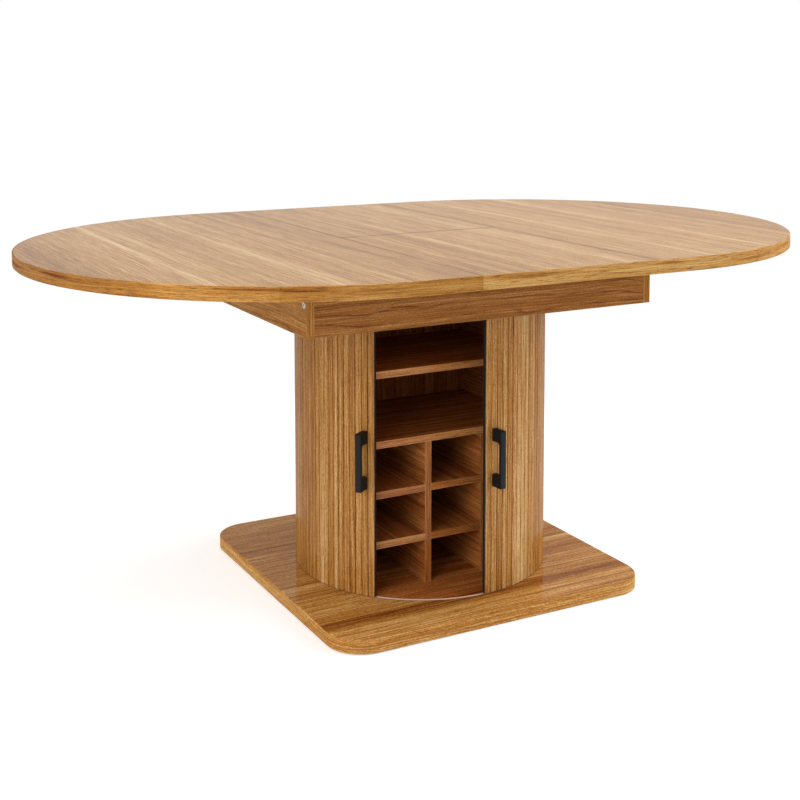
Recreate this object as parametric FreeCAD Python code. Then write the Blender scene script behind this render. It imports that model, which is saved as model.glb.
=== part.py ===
import FreeCAD, Part
import math
import os

# Extending dining table whose pedestal is a round cabinet with sliding tambour doors.
# Millimetres. The origin is on the floor under the middle of the base. X runs along the
# table's length, the front is at -Y and Z is up. Angles are degrees about Z, counted
# from the front (-Y) towards +X.

# Table top
TABLE_HEIGHT = 760.0          # floor to the upper face
TOP_THICK = 27.0
TOP_WIDTH = 1168.0            # across the straight sides, and the diameter of the round ends
END_STRAIGHT = 97.0           # straight run of an end half before its half circle
LEAF_LENGTH = 390.0           # extension leaf, along X, seam to seam
TOP_SEAM = 0.5                # gap left at every seam of the top
EDGE_BAND = 2.0               # thickness of the wooden band round the rim
EDGE_CHAMFER = 1.0            # eased outer edges of the band

# Apron
APRON_LENGTH = 818.0
APRON_DEPTH = 594.0
APRON_HEIGHT = 118.5
RAIL_THICK = 16.0             # front and rear rails
APRON_END_THICK = 16.0        # end panels, which cover the ends of the rails
CABINET_TOP_THICK = 16.0      # board inside the apron that closes the cabinet
CABINET_TOP_RECESS = 2.0      # its underside above the apron's lower edge
CORNER_BLOCK = 30.0           # side and height of the corner blocks

# Base
BASE_MARGIN = 86.6            # base plate beyond the doors on every side
BASE_THICK = 28.0
BASE_CORNER = 76.0
BASE_EDGE_CHAMFER = 1.5
GLIDE_THICK = 2.0
GLIDE_RADIUS = 15.0
GLIDE_INSET = 70.0            # glide centre from the base's sides

# Tambour doors
DOOR_BEHIND_RAIL = 1.6        # doors' outer face behind the rails' inner face
DOOR_SPAN_ANGLE = 90.0        # slatted angle of one door
SLAT_COUNT = 30
SLAT_THICK = 8.0
SLAT_GAP = 0.6
SLAT_CHAMFER = 0.8
BACKING_THICK = 1.0
BACKING_SHORT = 6.0           # backing film stops this far from the slats' ends
SEAL_THICK = 0.8              # strip on each leading edge
DOOR_MEET_GAP = 2.0           # between the leading edges when both doors are closed
DOOR_END_CLEAR = 1.0          # slats above the base and below the cabinet's top
LEFT_DOOR_OPEN_ANGLE = 48.0   # how far the left door stands open at rest
RIGHT_DOOR_OPEN_ANGLE = 0.0

# Door tracks
TONGUE_THICK = 3.0            # slat ends are cut down to a tongue that runs in the track
TONGUE_LENGTH = 4.0           # reach of the tongue into the track
TRACK_CLEAR = 0.4             # play between tongue and slot walls
TRACK_FLOOR_CLEAR = 0.3       # play between tongue and slot floor
TRACK_WIDTH = 8.0
TRACK_DEPTH = 8.0
TRACK_FIT = 0.1               # track in its groove

# Door handles
HANDLE_UP = 290.0             # middle of the handle above the base plate
HANDLE_PITCH = 96.0           # screw to screw
HANDLE_FOOT = 26.0
HANDLE_WIDTH = 12.5
HANDLE_REACH = 32.0           # stands out from the door
HANDLE_GRIP = 8.0             # thickness of the grip
HANDLE_OUTER_ROUND = 3.0
HANDLE_INNER_ROUND = 6.0
HANDLE_EDGE_CHAMFER = 0.8
HANDLE_SLAT = 1               # slat that carries the handle, counted from the leading edge

# Shelf unit
BOARD = 15.0                  # sides, dividers and shelves
BACK_THICK = 8.0
CARCASS_FRONT = 163.0         # front edges of the boards from the middle
CARCASS_CLEAR = 1.0           # front corners inside the doors
WINE_COLUMNS = 3
WINE_ROWS = 3
UPPER_CELL_HEIGHT = 117.5     # above the loose upper shelf
MIDDLE_CELL_HEIGHT = 133.0    # between the main shelf and the loose one
LOOSE_SHELF_FIT = 0.4         # loose shelf to the boards beside it

# Fixed rear shell
SHELL_THICK = 5.0
SHELL_RUN_CLEAR = 2.4         # doors run outside the shell
SHELL_FIT = 0.3               # rear corners and ribs inside the shell
SHELL_LAP_ANGLE = 6.0         # shell reaches this angle in front of the middle, behind the doors

# Extension runners
CHANNEL_WIDTH = 24.0
CHANNEL_HEIGHT = 24.0
CHANNEL_WALL = 2.0
CHANNEL_DROP = 14.0           # channel below the top's underside
CHANNEL_END_GAP = 1.0
RUNNER_CLEAR = 0.3            # runner bar inside its channel
HALF_PULL = 30.0              # outward travel of the halves
RUNNER_FROM_SEAM = 5.0        # runner bar's inner end from the half's seam
RUNNER_END_CLEAR = 3.0        # runner bar's outer end from the end panel, when pulled out
CLEAT_SIZE = 20.0             # locating cleat under a leaf
CLEAT_INSET = 45.0            # cleat's ends from the leaf's seams
CLEAT_CLEAR = 0.5             # cleat beside the channel

# Fasteners
SCREW_RADIUS = 2.0
SCREW_HEAD_RADIUS = 4.0
SCREW_HEAD_HEIGHT = 2.2
SCREW_FIT = 0.1               # screws in their holes, all round
SCREW_BITE = 22.0             # reach into the second board
SHORT_BITE = 12.0             # reach into a rail, a handle or the top
SCREW_SPREAD = 95.0           # screws either side of the middle, along Y
CHANNEL_SCREW_SPREAD = 300.0  # between the screws of a channel
CHANNEL_SCREW_COUNT = 3
RUNNER_SCREW_INSET = 30.0     # screws from the ends of a runner bar
BOLT_RADIUS = 3.0
BOLT_LENGTH = 50.0
BOLT_HEAD_RADIUS = 6.25
BOLT_HEAD_HEIGHT = 1.5
BOLT_SOCKET = 4.0             # across the flats
BOLT_SOCKET_DEPTH = 1.1
BOLT_DROP = 55.0              # bolts below the top's underside
NUT_RADIUS = 5.0
NUT_LENGTH = 12.0
NUT_FROM_END = 28.0           # barrel nut from the rail's end
DOWEL_RADIUS = 4.0
DOWEL_LENGTH = 30.0
DOWEL_IN_SIDE = 12.0
DOWEL_SPREAD = 100.0
DOWEL_FIT = 0.05
PIN_RADIUS = 2.5
PIN_LENGTH = 16.0
PIN_IN_SIDE = 8.0
PIN_SPREAD = 100.0

# Heights worked out from the sizes above
TOP_UNDER = TABLE_HEIGHT - TOP_THICK
APRON_BOTTOM = TOP_UNDER - APRON_HEIGHT
CABINET_CEILING = APRON_BOTTOM + CABINET_TOP_RECESS
CABINET_TOP_FACE = CABINET_CEILING + CABINET_TOP_THICK
BASE_FACE = GLIDE_THICK + BASE_THICK
UPPER_SHELF_FACE = CABINET_CEILING - UPPER_CELL_HEIGHT
UPPER_SHELF_UNDER = UPPER_SHELF_FACE - BOARD
MAIN_SHELF_FACE = UPPER_SHELF_UNDER - MIDDLE_CELL_HEIGHT
MAIN_SHELF_UNDER = MAIN_SHELF_FACE - BOARD
WINE_CELL_HEIGHT = (MAIN_SHELF_UNDER - BASE_FACE - (WINE_ROWS - 1) * BOARD) / WINE_ROWS
CHANNEL_TOP = TOP_UNDER - CHANNEL_DROP
CHANNEL_BOTTOM = CHANNEL_TOP - CHANNEL_HEIGHT
RUNNER_BOTTOM = CHANNEL_BOTTOM + CHANNEL_WALL + RUNNER_CLEAR
BOLT_Z = TOP_UNDER - BOLT_DROP
HANDLE_Z = BASE_FACE + HANDLE_UP

# Places worked out from the sizes above
RAIL_INNER = APRON_DEPTH / 2 - RAIL_THICK
APRON_END_INNER = APRON_LENGTH / 2 - APRON_END_THICK
DOOR_RADIUS = RAIL_INNER - DOOR_BEHIND_RAIL
SLAT_BACK = DOOR_RADIUS - SLAT_THICK
DOOR_INNER = SLAT_BACK - BACKING_THICK
TRACK_RADIUS = DOOR_RADIUS - SLAT_THICK / 2
BASE_HALF = DOOR_RADIUS + BASE_MARGIN
CARCASS_HALF = math.sqrt((DOOR_INNER - CARCASS_CLEAR) ** 2 - CARCASS_FRONT ** 2)
SHELL_OUTER = DOOR_INNER - SHELL_RUN_CLEAR
SHELL_INNER = SHELL_OUTER - SHELL_THICK
CARCASS_REAR = math.sqrt((SHELL_INNER - SHELL_FIT) ** 2 - CARCASS_HALF ** 2)
SHELF_REAR = CARCASS_REAR - BACK_THICK
SIDE_INNER = CARCASS_HALF - BOARD
CELL_WIDTH = (2 * SIDE_INNER - (WINE_COLUMNS - 1) * BOARD) / WINE_COLUMNS
DIVIDER_X = [-SIDE_INNER + n * (CELL_WIDTH + BOARD) - BOARD / 2 for n in range(1, WINE_COLUMNS)]
SEAM_X = LEAF_LENGTH / 2 + TOP_SEAM / 2
CHANNEL_OUTER = RAIL_INNER
CHANNEL_INNER = RAIL_INNER - CHANNEL_WIDTH

FULL_TURN = 360.0
QUARTER_TURN = FULL_TURN / 4
SOCKET_SIDES = 6
SHAPE_TOLERANCE = 1e-4        # for picking edges by their place
UP = FreeCAD.Vector(0, 0, 1)
DOWN = FreeCAD.Vector(0, 0, -1)
SIDES = {"left": -1, "right": 1}
FACES = {"front": -1, "rear": 1}
NODES = {}


# Shape helpers
def point(x, y, z=0.0):
    return FreeCAD.Vector(x, y, z)


def polar(radius, angle, z=0.0):
    turn = math.radians(angle)
    return point(radius * math.sin(turn), -radius * math.cos(turn), z)


def line(start, end):
    return Part.LineSegment(start, end).toShape()


def arc(start, middle, end):
    return Part.Arc(start, middle, end).toShape()


def prism(edges, direction):
    return Part.Face(Part.Wire(edges)).extrude(direction)


def block(x_ends, y_ends, z_ends):
    low = point(min(x_ends), min(y_ends), min(z_ends))
    high = point(max(x_ends), max(y_ends), max(z_ends))
    size = high - low
    return Part.makeBox(size.x, size.y, size.z, low)


def ring(inner, outer, bottom, top):
    foot = point(0, 0, bottom)
    height = top - bottom
    return Part.makeCylinder(outer, height, foot).cut(Part.makeCylinder(inner, height, foot))


def sector(inner, outer, start, end, bottom, top):
    middle = (start + end) / 2
    edges = [
        arc(polar(outer, start, bottom), polar(outer, middle, bottom), polar(outer, end, bottom)),
        line(polar(outer, end, bottom), polar(inner, end, bottom)),
        arc(polar(inner, end, bottom), polar(inner, middle, bottom), polar(inner, start, bottom)),
        line(polar(inner, start, bottom), polar(outer, start, bottom)),
    ]
    return prism(edges, UP * (top - bottom))


def rounded_outline(corners, place):
    """Closed outline through (u, v, radius) corners, each put in space by place(u, v)."""
    starts, middles, ends = [], [], []
    count = len(corners)
    for n, (u, v, radius) in enumerate(corners):
        here = point(u, v)
        before = point(*corners[n - 1][:2]) - here
        after = point(*corners[(n + 1) % count][:2]) - here
        before.normalize()
        after.normalize()
        half_angle = before.getAngle(after) / 2
        tangent = radius / math.tan(half_angle)
        bisector = before + after
        bisector.normalize()
        depth = radius / math.sin(half_angle) - radius
        starts.append(here + before * tangent)
        middles.append(here + bisector * depth)
        ends.append(here + after * tangent)
    edges = []
    for n, (u, v, radius) in enumerate(corners):
        if radius > 0:
            edges.append(arc(*[place(p.x, p.y) for p in (starts[n], middles[n], ends[n])]))
        follow = starts[(n + 1) % count]
        edges.append(line(place(ends[n].x, ends[n].y), place(follow.x, follow.y)))
    return edges


def turned(shape, angle):
    copy = shape.copy()
    copy.rotate(point(0, 0, 0), UP, angle)
    return copy


def rod(radius, length, start, direction):
    return Part.makeCylinder(radius, length, start, direction)


def countersunk(start, direction, length, spare=0.0):
    """Screw with a flat head at start, or its hole where spare is added all round."""
    head = Part.makeCone(SCREW_HEAD_RADIUS + spare, SCREW_RADIUS + spare, SCREW_HEAD_HEIGHT,
                         start, direction)
    return head.fuse(rod(SCREW_RADIUS + spare, length + spare, start, direction))


def screw_holes(screws):
    return [countersunk(*screw, spare=SCREW_FIT) for screw in screws]


def screw_group(screws):
    return Part.makeCompound([countersunk(*screw) for screw in screws])


def add(name, shape):
    NODES[name] = shape


# Where the screws go, as (head, direction, length)
def base_screws():
    board_lines = [-CARCASS_HALF + BOARD / 2, *DIVIDER_X, CARCASS_HALF - BOARD / 2]
    return [(point(x, y, GLIDE_THICK), UP, BASE_THICK + SCREW_BITE)
            for x in board_lines for y in (-SCREW_SPREAD, SCREW_SPREAD)]


def cabinet_top_screws():
    side_line = CARCASS_HALF - BOARD / 2
    return [(point(x, y, CABINET_TOP_FACE), DOWN, CABINET_TOP_THICK + SCREW_BITE)
            for x in (-side_line, side_line) for y in (-SCREW_SPREAD, SCREW_SPREAD)]


def channel_screws(face):
    middle = (CHANNEL_SCREW_COUNT - 1) / 2
    height = CHANNEL_BOTTOM + CHANNEL_HEIGHT / 2
    inside = face * (CHANNEL_OUTER - CHANNEL_WALL)
    return [(point((n - middle) * CHANNEL_SCREW_SPREAD, inside, height), point(0, face, 0),
             CHANNEL_WALL + SHORT_BITE) for n in range(CHANNEL_SCREW_COUNT)]


def runner_ends(side):
    inner = SEAM_X + RUNNER_FROM_SEAM
    outer = APRON_END_INNER - HALF_PULL - RUNNER_END_CLEAR
    return side * inner, side * outer


def runner_middle(face):
    return face * (CHANNEL_OUTER - CHANNEL_WIDTH / 2)


def runner_screws(side):
    inner, outer = runner_ends(side)
    lines = (inner + side * RUNNER_SCREW_INSET, outer - side * RUNNER_SCREW_INSET)
    return [(point(x, runner_middle(face), RUNNER_BOTTOM), UP, TOP_UNDER - RUNNER_BOTTOM + SHORT_BITE)
            for x in lines for face in FACES.values()]


# Base plate on its glides
def make_base():
    corners = [(x, y, BASE_CORNER) for x, y in ((-BASE_HALF, -BASE_HALF), (BASE_HALF, -BASE_HALF),
                                                (BASE_HALF, BASE_HALF), (-BASE_HALF, BASE_HALF))]
    outline = rounded_outline(corners, lambda u, v: point(u, v, GLIDE_THICK))
    plate = prism(outline, UP * BASE_THICK)
    rim = [edge for edge in plate.Edges if edge.BoundBox.ZMin > BASE_FACE - SHAPE_TOLERANCE]
    plate = plate.makeChamfer(BASE_EDGE_CHAMFER, rim)
    half_groove = TRACK_WIDTH / 2 + TRACK_FIT
    groove = ring(TRACK_RADIUS - half_groove, TRACK_RADIUS + half_groove,
                  BASE_FACE - TRACK_DEPTH, BASE_FACE)
    add("base_plate", plate.cut([groove] + screw_holes(base_screws())))
    add("carcass_screws", screw_group(base_screws() + cabinet_top_screws()))
    glide_line = BASE_HALF - GLIDE_INSET
    add("base_glides", Part.makeCompound([rod(GLIDE_RADIUS, GLIDE_THICK, point(x, y), UP)
                                          for x in (-glide_line, glide_line)
                                          for y in (-glide_line, glide_line)]))


# Round tracks that hold the doors' slat ends
def make_tracks():
    half_slot = TONGUE_THICK / 2 + TRACK_CLEAR
    slot_depth = TONGUE_LENGTH + TRACK_FLOOR_CLEAR
    for name, face, into in (("bottom_track", BASE_FACE, -1), ("top_track", CABINET_CEILING, 1)):
        floor = face + into * TRACK_DEPTH
        body = ring(TRACK_RADIUS - TRACK_WIDTH / 2, TRACK_RADIUS + TRACK_WIDTH / 2,
                    min(face, floor), max(face, floor))
        slot_floor = face + into * slot_depth
        slot = ring(TRACK_RADIUS - half_slot, TRACK_RADIUS + half_slot,
                    min(face, slot_floor), max(face, slot_floor))
        add(name, body.cut(slot))


# Shelf unit inside the doors
def dowel_places():
    height = MAIN_SHELF_UNDER + BOARD / 2
    return [(side, point(side * (SIDE_INNER + DOWEL_IN_SIDE), y, height))
            for side in SIDES.values() for y in (-DOWEL_SPREAD, 0.0, DOWEL_SPREAD)]


def dowels(spare=0.0):
    return [rod(DOWEL_RADIUS + spare, DOWEL_LENGTH + spare, start + point(side * spare, 0, 0),
                point(-side, 0, 0)) for side, start in dowel_places()]


def shelf_pins(spare=0.0):
    height = UPPER_SHELF_UNDER - PIN_RADIUS
    return [rod(PIN_RADIUS + spare, PIN_LENGTH + spare,
                point(side * (SIDE_INNER + PIN_IN_SIDE + spare), y, height), point(-side, 0, 0))
            for side in SIDES.values() for y in (-PIN_SPREAD, PIN_SPREAD)]


def make_shelf_unit():
    depth = (-CARCASS_FRONT, SHELF_REAR)
    upright_screws = screw_holes(base_screws())
    for name, side in SIDES.items():
        panel = block((side * SIDE_INNER, side * CARCASS_HALF), (-CARCASS_FRONT, CARCASS_REAR),
                      (BASE_FACE, CABINET_CEILING))
        holes = upright_screws + screw_holes(cabinet_top_screws()) + dowels(DOWEL_FIT) + shelf_pins(DOWEL_FIT)
        add("carcass_%s_side" % name, panel.cut(holes))
    add("carcass_back", block((-SIDE_INNER, SIDE_INNER), (SHELF_REAR, CARCASS_REAR),
                              (BASE_FACE, CABINET_CEILING)))
    main_shelf = block((-SIDE_INNER, SIDE_INNER), depth, (MAIN_SHELF_UNDER, MAIN_SHELF_FACE))
    add("main_shelf", main_shelf.cut(dowels(DOWEL_FIT)))
    loose_half = SIDE_INNER - LOOSE_SHELF_FIT
    add("upper_shelf", block((-loose_half, loose_half), (-CARCASS_FRONT, SHELF_REAR - LOOSE_SHELF_FIT),
                             (UPPER_SHELF_UNDER, UPPER_SHELF_FACE)))
    add("shelf_dowels", Part.makeCompound(dowels()))
    add("shelf_pins", Part.makeCompound(shelf_pins()))
    for n, x in enumerate(DIVIDER_X):
        upright = block((x - BOARD / 2, x + BOARD / 2), depth, (BASE_FACE, MAIN_SHELF_UNDER))
        add("wine_divider_%d" % (n + 1), upright.cut(upright_screws))
    for column in range(WINE_COLUMNS):
        left = -SIDE_INNER + column * (CELL_WIDTH + BOARD)
        for row in range(1, WINE_ROWS):
            under = BASE_FACE + row * WINE_CELL_HEIGHT + (row - 1) * BOARD
            shelf = block((left, left + CELL_WIDTH), depth, (under, under + BOARD))
            add("wine_shelf_%d_%d" % (column + 1, row), shelf)


# Fixed shell round the back, with the ribs that hold its front edges
def make_rear_shell():
    start = QUARTER_TURN - SHELL_LAP_ANGLE
    end = FULL_TURN - start
    add("rear_shell", sector(SHELL_INNER, SHELL_OUTER, start, end, BASE_FACE, CABINET_CEILING))
    reach = SHELL_INNER - SHELL_FIT
    front = polar(reach, start).y
    stations = (front, front + BOARD / 2, front + BOARD)
    ribs = []
    for side in SIDES.values():
        tips = [point(side * math.sqrt(reach ** 2 - y ** 2), y, BASE_FACE) for y in stations]
        foot_front = point(side * CARCASS_HALF, stations[0], BASE_FACE)
        foot_rear = point(side * CARCASS_HALF, stations[2], BASE_FACE)
        edges = [line(foot_front, tips[0]), arc(*tips), line(tips[2], foot_rear), line(foot_rear, foot_front)]
        ribs.append(prism(edges, UP * (CABINET_CEILING - BASE_FACE)))
    add("shell_ribs", Part.makeCompound(ribs))


# Apron box that carries the top
def bolt(side, face, spare=0.0):
    head_x = side * APRON_LENGTH / 2
    start = point(head_x, face * (APRON_DEPTH / 2 - RAIL_THICK / 2), BOLT_Z)
    return rod(BOLT_RADIUS + spare, BOLT_LENGTH + spare, start, point(-side, 0, 0))


def bolt_head(side, face):
    start = point(side * APRON_LENGTH / 2, face * (APRON_DEPTH / 2 - RAIL_THICK / 2), BOLT_Z)
    out = point(side, 0, 0)
    head = rod(BOLT_HEAD_RADIUS, BOLT_HEAD_HEIGHT, start, out)
    step = math.radians(FULL_TURN / SOCKET_SIDES)
    socket_radius = BOLT_SOCKET / 2 / math.cos(step / 2)
    mouth = start + out * BOLT_HEAD_HEIGHT
    ends = [mouth + point(0, socket_radius * math.cos(n * step), socket_radius * math.sin(n * step))
            for n in range(SOCKET_SIDES)]
    sides = [line(ends[n - 1], ends[n]) for n in range(SOCKET_SIDES)]
    return head.cut(prism(sides, out * -BOLT_SOCKET_DEPTH))


def barrel_nut(side, face, spare=0.0):
    start = point(side * (APRON_END_INNER - NUT_FROM_END), face * RAIL_INNER, BOLT_Z)
    return rod(NUT_RADIUS + spare, NUT_LENGTH + spare, start, point(0, face, 0))


def make_apron():
    bolts, nuts, blocks = [], [], []
    for face_name, face in FACES.items():
        rail = block((-APRON_END_INNER, APRON_END_INNER), (face * RAIL_INNER, face * APRON_DEPTH / 2),
                     (APRON_BOTTOM, TOP_UNDER))
        holes = screw_holes(channel_screws(face))
        for side in SIDES.values():
            holes += [bolt(side, face, SCREW_FIT), barrel_nut(side, face, SCREW_FIT)]
            bolts.append(bolt(side, face).fuse(bolt_head(side, face)))
            nuts.append(barrel_nut(side, face).cut(bolt(side, face, SCREW_FIT)))
            blocks.append(block((side * APRON_END_INNER, side * (APRON_END_INNER - CORNER_BLOCK)),
                                (face * RAIL_INNER, face * (RAIL_INNER - CORNER_BLOCK)),
                                (CABINET_TOP_FACE, CABINET_TOP_FACE + CORNER_BLOCK)))
        add("%s_rail" % face_name, rail.cut(holes))
    for side_name, side in SIDES.items():
        panel = block((side * APRON_END_INNER, side * APRON_LENGTH / 2), (-APRON_DEPTH / 2, APRON_DEPTH / 2),
                      (APRON_BOTTOM, TOP_UNDER))
        add("%s_apron_end" % side_name, panel.cut([bolt(side, face, SCREW_FIT) for face in FACES.values()]))
    add("apron_bolts", Part.makeCompound(bolts))
    add("barrel_nuts", Part.makeCompound(nuts))
    add("corner_blocks", Part.makeCompound(blocks))
    board = block((-APRON_END_INNER, APRON_END_INNER), (-RAIL_INNER, RAIL_INNER),
                  (CABINET_CEILING, CABINET_TOP_FACE))
    half_groove = TRACK_WIDTH / 2 + TRACK_FIT
    groove = ring(TRACK_RADIUS - half_groove, TRACK_RADIUS + half_groove,
                  CABINET_CEILING, CABINET_CEILING + TRACK_DEPTH)
    add("cabinet_top", board.cut([groove] + screw_holes(cabinet_top_screws())))


# Steel channels on the rails, in which the halves of the top run
def make_channels():
    half = APRON_END_INNER - CHANNEL_END_GAP
    for name, face in FACES.items():
        outer = block((-half, half), (face * CHANNEL_OUTER, face * CHANNEL_INNER),
                      (CHANNEL_BOTTOM, CHANNEL_TOP))
        hollow = block((-half, half),
                       (face * (CHANNEL_OUTER - CHANNEL_WALL), face * (CHANNEL_INNER + CHANNEL_WALL)),
                       (CHANNEL_BOTTOM + CHANNEL_WALL, CHANNEL_TOP))
        screws = channel_screws(face)
        add("%s_channel" % name, outer.cut([hollow] + screw_holes(screws)))
    every_screw = [screw for face in FACES.values() for screw in channel_screws(face)]
    add("channel_screws", screw_group(every_screw))


# Table top in two round-ended halves and a leaf in two pieces
def half_panel(side, inset):
    seam = side * SEAM_X
    turn = side * (LEAF_LENGTH / 2 + END_STRAIGHT)
    reach = TOP_WIDTH / 2 - inset
    edges = [
        line(point(seam, -reach, TOP_UNDER), point(turn, -reach, TOP_UNDER)),
        arc(point(turn, -reach, TOP_UNDER), point(turn + side * reach, 0, TOP_UNDER),
            point(turn, reach, TOP_UNDER)),
        line(point(turn, reach, TOP_UNDER), point(seam, reach, TOP_UNDER)),
        line(point(seam, reach, TOP_UNDER), point(seam, -reach, TOP_UNDER)),
    ]
    return prism(edges, UP * TOP_THICK)


def leaf_panel(face, inset):
    half = LEAF_LENGTH / 2 - TOP_SEAM / 2
    return block((-half, half), (face * TOP_SEAM / 2, face * (TOP_WIDTH / 2 - inset)),
                 (TOP_UNDER, TABLE_HEIGHT))


def on_seam(edge, across, seam):
    return all(abs(getattr(vertex.Point, across) - seam) < SHAPE_TOLERANCE for vertex in edge.Vertexes)


def edge_band(whole, core, rim):
    return whole.makeChamfer(min(EDGE_CHAMFER, EDGE_BAND / 2), rim).cut(core)


def is_level(edge):
    return edge.BoundBox.ZLength < SHAPE_TOLERANCE


def make_top():
    for name, side in SIDES.items():
        whole = half_panel(side, 0.0)
        core = half_panel(side, EDGE_BAND)
        rim = [edge for edge in whole.Edges if is_level(edge) and not on_seam(edge, "x", side * SEAM_X)]
        add("%s_top_edge" % name, edge_band(whole, core, rim))
        add("%s_top" % name, core.cut(screw_holes(runner_screws(side))))
        inner, outer = runner_ends(side)
        half_width = CHANNEL_WIDTH / 2 - CHANNEL_WALL - RUNNER_CLEAR
        holes = screw_holes(runner_screws(side))
        bars = [block((inner, outer), (runner_middle(face) - half_width, runner_middle(face) + half_width),
                      (RUNNER_BOTTOM, TOP_UNDER)).cut(holes) for face in FACES.values()]
        add("%s_runners" % name, Part.makeCompound(bars))
        add("%s_runner_screws" % name, screw_group(runner_screws(side)))
    for name, face in FACES.items():
        whole = leaf_panel(face, 0.0)
        core = leaf_panel(face, EDGE_BAND)
        rim = [edge for edge in whole.Edges if is_level(edge) and on_seam(edge, "y", face * TOP_WIDTH / 2)]
        add("%s_leaf_edge" % name, edge_band(whole, core, rim))
        add("%s_leaf" % name, core)
        outside = CHANNEL_INNER - CLEAT_CLEAR
        half_cleat = LEAF_LENGTH / 2 - CLEAT_INSET
        add("%s_leaf_cleat" % name, block((-half_cleat, half_cleat),
                                          (face * outside, face * (outside - CLEAT_SIZE)),
                                          (TOP_UNDER - CLEAT_SIZE, TOP_UNDER)))


# Tambour doors
def slat():
    """One slat at the front, with its outer edges chamfered and a tongue at each end."""
    half = DOOR_SPAN_ANGLE / SLAT_COUNT / 2 - math.degrees(SLAT_GAP / 2 / DOOR_RADIUS)
    face_half = half - math.degrees(SLAT_CHAMFER / DOOR_RADIUS)
    shoulder = DOOR_RADIUS - SLAT_CHAMFER
    bottom = BASE_FACE + DOOR_END_CLEAR
    top = CABINET_CEILING - DOOR_END_CLEAR
    edges = [
        arc(polar(DOOR_RADIUS, -face_half, bottom), polar(DOOR_RADIUS, 0, bottom),
            polar(DOOR_RADIUS, face_half, bottom)),
        line(polar(DOOR_RADIUS, face_half, bottom), polar(shoulder, half, bottom)),
        line(polar(shoulder, half, bottom), polar(SLAT_BACK, half, bottom)),
        arc(polar(SLAT_BACK, half, bottom), polar(SLAT_BACK, 0, bottom), polar(SLAT_BACK, -half, bottom)),
        line(polar(SLAT_BACK, -half, bottom), polar(shoulder, -half, bottom)),
        line(polar(shoulder, -half, bottom), polar(DOOR_RADIUS, -face_half, bottom)),
    ]
    body = prism(edges, UP * (top - bottom))
    tongue = sector(TRACK_RADIUS - TONGUE_THICK / 2, TRACK_RADIUS + TONGUE_THICK / 2, -half, half,
                    BASE_FACE - TONGUE_LENGTH, CABINET_CEILING + TONGUE_LENGTH)
    return body.fuse(tongue)


def handle_screws():
    length = DOOR_RADIUS - DOOR_INNER + SHORT_BITE
    return [(point(0, -DOOR_INNER, HANDLE_Z + lift), point(0, -1, 0), length)
            for lift in (-HANDLE_PITCH / 2, HANDLE_PITCH / 2)]


def handle():
    half_height = HANDLE_PITCH / 2 + HANDLE_FOOT / 2
    gap_half = HANDLE_PITCH / 2 - HANDLE_FOOT / 2
    gap_reach = HANDLE_REACH - HANDLE_GRIP
    corners = [
        (0.0, -half_height, 0.0),
        (HANDLE_REACH, -half_height, HANDLE_OUTER_ROUND),
        (HANDLE_REACH, half_height, HANDLE_OUTER_ROUND),
        (0.0, half_height, 0.0),
        (0.0, gap_half, 0.0),
        (gap_reach, gap_half, HANDLE_INNER_ROUND),
        (gap_reach, -gap_half, HANDLE_INNER_ROUND),
        (0.0, -gap_half, 0.0),
    ]
    side = -HANDLE_WIDTH / 2
    outline = rounded_outline(corners, lambda u, v: point(side, -DOOR_RADIUS - u, HANDLE_Z + v))
    bar = prism(outline, point(HANDLE_WIDTH, 0, 0))
    rim = [edge for edge in bar.Edges if edge.BoundBox.XLength < SHAPE_TOLERANCE
           and edge.BoundBox.YMax < -DOOR_RADIUS - SHAPE_TOLERANCE]
    return bar.makeChamfer(HANDLE_EDGE_CHAMFER, rim)


def make_door(name, side, rest_turn):
    pitch = DOOR_SPAN_ANGLE / SLAT_COUNT
    seal_start = math.degrees(DOOR_MEET_GAP / 2 / DOOR_RADIUS)
    lead = seal_start + math.degrees(SEAL_THICK / DOOR_RADIUS)
    bottom = BASE_FACE + DOOR_END_CLEAR
    top = CABINET_CEILING - DOOR_END_CLEAR
    holes = screw_holes(handle_screws())
    plain = slat()
    bored = plain.cut(holes)
    slats = []
    for n in range(SLAT_COUNT):
        angle = rest_turn + side * (lead + (n + 0.5) * pitch)
        slats.append(turned(bored if n == HANDLE_SLAT else plain, angle))
    add("%s_door_slats" % name, Part.makeCompound(slats))
    carry = side * (lead + (HANDLE_SLAT + 0.5) * pitch)
    ends = sorted((side * lead, side * (lead + DOOR_SPAN_ANGLE)))
    film = sector(DOOR_INNER, SLAT_BACK, ends[0], ends[1], bottom + BACKING_SHORT, top - BACKING_SHORT)
    film = film.cut([turned(hole, carry) for hole in holes])
    add("%s_door_backing" % name, turned(film, rest_turn))
    strip = sorted((side * seal_start, side * lead))
    seal = sector(DOOR_INNER, DOOR_RADIUS - SLAT_CHAMFER, strip[0], strip[1], bottom, top)
    add("%s_door_seal" % name, turned(seal, rest_turn))
    add("%s_door_handle" % name, turned(handle().cut(holes), rest_turn + carry))
    add("%s_handle_screws" % name, turned(screw_group(handle_screws()), rest_turn + carry))


make_base()
make_tracks()
make_shelf_unit()
make_rear_shell()
make_apron()
make_channels()
make_top()
make_door("left", SIDES["left"], -LEFT_DOOR_OPEN_ANGLE)
make_door("right", SIDES["right"], RIGHT_DOOR_OPEN_ANGLE)

os.makedirs("parts", exist_ok=True)
for node_name, node_shape in NODES.items():
    node_shape.exportStep("parts/%s.step" % node_name)
print(len(NODES), "nodes")
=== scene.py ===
import math

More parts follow.
